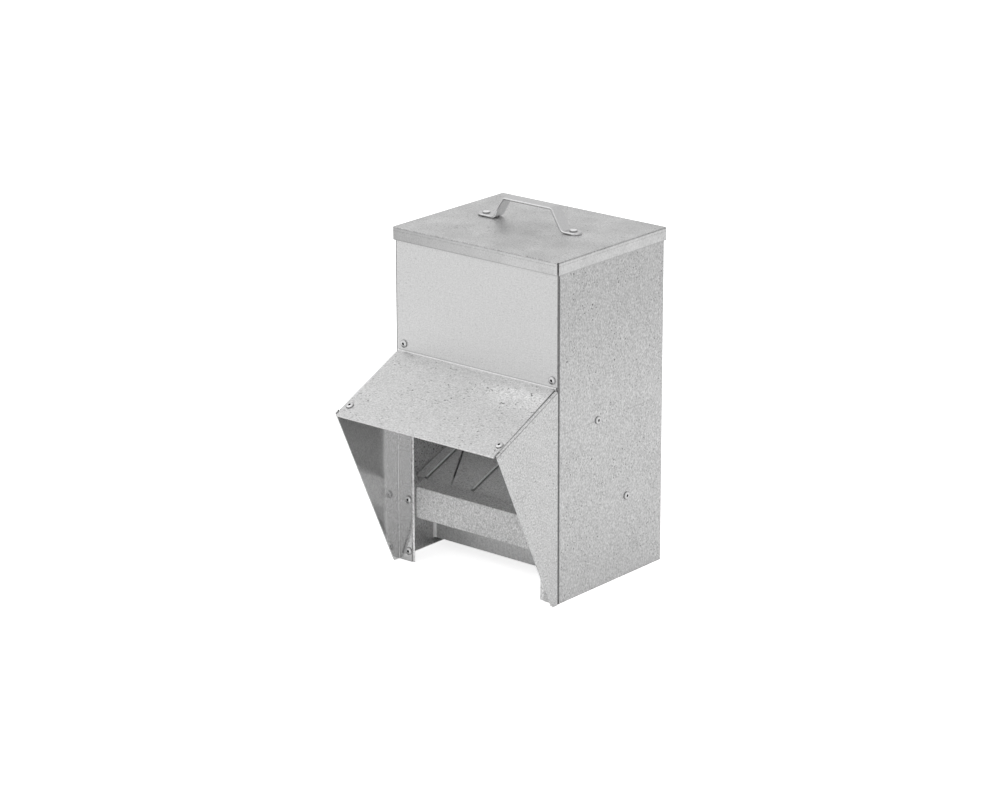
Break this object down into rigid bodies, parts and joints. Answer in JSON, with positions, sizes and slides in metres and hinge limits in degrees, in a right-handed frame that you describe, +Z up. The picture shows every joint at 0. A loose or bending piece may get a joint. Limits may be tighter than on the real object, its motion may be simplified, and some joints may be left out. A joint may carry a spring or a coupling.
{
  "type": "poultry feeder",
  "caption": "Tall galvanised sheet-steel hopper feeder for poultry, with a lift-off lid and strap handle, a sloping rain hood with side wings, and a low feeding trough",
  "frame": {"origin": "centre of the bounding box's underside, on the floor that the feeder stands on", "axes": "+Z up, -Y towards the side that the birds feed from, +X to the right of a viewer who faces the trough"},
  "size_m": [0.2584, 0.3242, 0.4561],
  "materials": {
    "galvanised_sheet": "galvanised, satin, with fine spangle",
    "plated_strap": "zinc plated, satin",
    "wire": "galvanised wire",
    "rivet_metal": "satin"
  },
  "bodies": {
    "feeder": {"body_shell": "galvanised_sheet", "front_panel": "galvanised_sheet", "wing_left": "galvanised_sheet", "wing_right": "galvanised_sheet", "trough_front": "galvanised_sheet", "feed_chute": "galvanised_sheet", "feed_baffle": "galvanised_sheet", "foot_skirt": "galvanised_sheet", "chute_brace": "galvanised_sheet", "chute_rib_1": "wire", "chute_rib_2": "wire", "chute_rib_3": "wire", "chute_rib_4": "wire", "panel_rivet_left": "rivet_metal", "panel_rivet_right": "rivet_metal", "hood_rivet_left": "rivet_metal", "hood_rivet_right": "rivet_metal", "leg_rivet_upper_left": "rivet_metal", "leg_rivet_upper_right": "rivet_metal", "leg_rivet_lower_left": "rivet_metal", "leg_rivet_lower_right": "rivet_metal", "baffle_rivet_left": "rivet_metal", "baffle_rivet_right": "rivet_metal", "brace_rivet_left": "rivet_metal", "brace_rivet_right": "rivet_metal"},
    "lid": {"lid": "galvanised_sheet", "lid_handle": "plated_strap", "handle_rivet_left": "rivet_metal", "handle_rivet_right": "rivet_metal"}
  },
  "joints": [
    {"name": "lid_lift", "type": "slide", "parent": "feeder", "child": "lid", "axis": [0, 0, 1], "range_m": [0, 0.08]}
  ]
}
